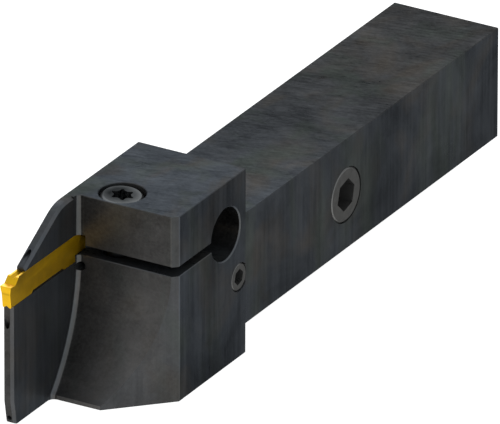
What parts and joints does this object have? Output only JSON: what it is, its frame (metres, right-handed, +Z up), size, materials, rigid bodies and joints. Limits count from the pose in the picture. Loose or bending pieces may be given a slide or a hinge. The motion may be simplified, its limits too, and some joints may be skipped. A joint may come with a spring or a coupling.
{
  "type": "grooving tool holder",
  "caption": "Square-shank lathe tool holder with a thin blade, a slit clamping head and a double-ended grooving insert.",
  "frame": {"origin": "centre of the square shank's underside, which is the face that rests in a tool post", "axes": "+Z up, square to the shank's underside; +Y along the shank to its rear end, so the cutting edge points to -Y; +X to the side that carries the port plugs"},
  "size_m": [0.0205, 0.128, 0.0333],
  "materials": {
    "black_steel": "blackened, satin",
    "gold_carbide": "titanium nitride coating, satin",
    "bright_steel": "turned, bright",
    "grey_steel": "phosphated, satin"
  },
  "bodies": {
    "holder": {"tool_body": "black_steel", "side_port_plug": "grey_steel", "channel_plug_screw": "grey_steel", "blade_channel_pin": "grey_steel"},
    "insert": {"cutting_insert": "gold_carbide"},
    "screw": {"clamp_screw": "bright_steel"}
  },
  "joints": [
    {"name": "clamp_screw_turn", "type": "hinge", "parent": "holder", "child": "screw", "pos_m": [-0.00261, -0.0602, 0.02496], "axis": [0.0698, 0, 0.9976], "range_deg": [0, 540]},
    {"name": "insert_slide", "type": "slide", "parent": "holder", "child": "insert", "axis": [0, -1, 0], "range_m": [0, 0.023]}
  ]
}
